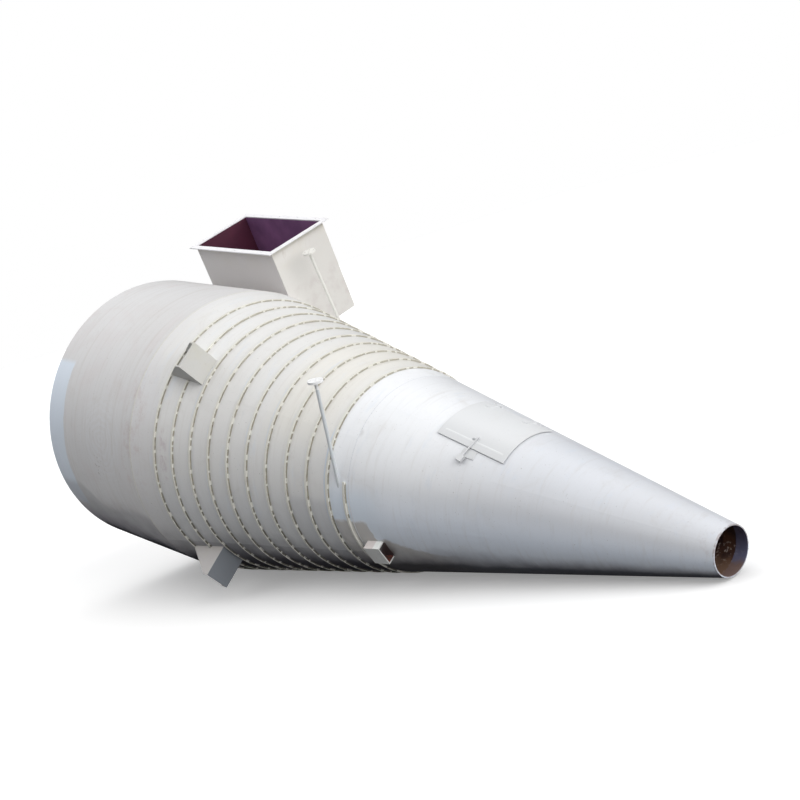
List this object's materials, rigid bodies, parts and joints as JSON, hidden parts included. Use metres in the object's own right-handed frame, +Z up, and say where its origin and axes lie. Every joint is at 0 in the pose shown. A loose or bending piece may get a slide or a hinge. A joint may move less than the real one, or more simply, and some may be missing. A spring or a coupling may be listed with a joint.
{
  "type": "cyclone separator",
  "caption": "Steel cyclone separator lying on its side: short barrel with tangential rectangular inlet, long cone with stiffener rings, access hatch.",
  "frame": {"origin": "on the ground, in the middle of the footprint's bounding box", "axes": "+X from the barrel towards the dust outlet, level; +Y towards the inlet's side; +Z up, with the cyclone lying on its stiffener rings and one bracket corner. Its own axis runs along +X and dips 11.46 degrees."},
  "size_m": [5.5974, 2.1326, 2.5077],
  "materials": {
    "barrel_paint": "satin",
    "ringed_paint": "satin",
    "cone_paint": "satin",
    "inlet_paint": "satin",
    "hatch_paint": "satin",
    "outlet_paint": "satin",
    "fitting_paint": "satin"
  },
  "bodies": {
    "shell": {"barrel_plate_1": "barrel_paint", "barrel_plate_2": "barrel_paint", "barrel_plate_3": "barrel_paint", "barrel_plate_4": "barrel_paint", "barrel_plate_5": "barrel_paint", "barrel_inlet_bridge": "barrel_paint", "roof_plate_1": "barrel_paint", "roof_plate_2": "barrel_paint", "roof_plate_3": "barrel_paint", "roof_plate_4": "barrel_paint", "vortex_finder": "outlet_paint", "gas_outlet_flange": "outlet_paint", "inlet_inner_wall": "inlet_paint", "inlet_outer_wall": "inlet_paint", "inlet_lower_wall": "inlet_paint", "inlet_upper_wall": "inlet_paint", "inlet_closing_plate": "inlet_paint", "inlet_flange": "inlet_paint", "ringed_cone_plate_1": "ringed_paint", "ringed_cone_plate_2": "ringed_paint", "ringed_cone_plate_3": "ringed_paint", "ringed_cone_plate_4": "ringed_paint", "ringed_cone_plate_5": "ringed_paint", "ring_arcs_1": "ringed_paint", "ring_arcs_2": "ringed_paint", "ring_arcs_3": "ringed_paint", "ring_arcs_4": "ringed_paint", "ring_arcs_5": "ringed_paint", "ring_low_arc": "ringed_paint", "smooth_cone_plate_1": "cone_paint", "smooth_cone_plate_2": "cone_paint", "smooth_cone_plate_3": "cone_paint", "smooth_cone_plate_4": "cone_paint", "cone_plate_above_hatch": "cone_paint", "outlet_cone_plate_1": "cone_paint", "outlet_cone_plate_2": "cone_paint", "outlet_cone_plate_3": "cone_paint", "outlet_cone_plate_4": "cone_paint", "support_bracket_1": "fitting_paint", "support_bracket_2": "fitting_paint", "support_bracket_3": "fitting_paint", "support_bracket_4": "fitting_paint", "cone_nozzle": "fitting_paint", "barrel_nozzle": "fitting_paint", "channel_lug": "fitting_paint", "hatch_hinges": "hatch_paint", "hatch_keeper": "hatch_paint"},
    "hatch": {"hatch_door": "hatch_paint", "hatch_latch": "hatch_paint"}
  },
  "joints": [
    {"name": "hatch_hinge", "type": "hinge", "parent": "shell", "child": "hatch", "pos_m": [1.28485, 0.09234, 0.90165], "axis": [-0.9108, -0.035, 0.4113], "range_deg": [0, 100]}
  ]
}
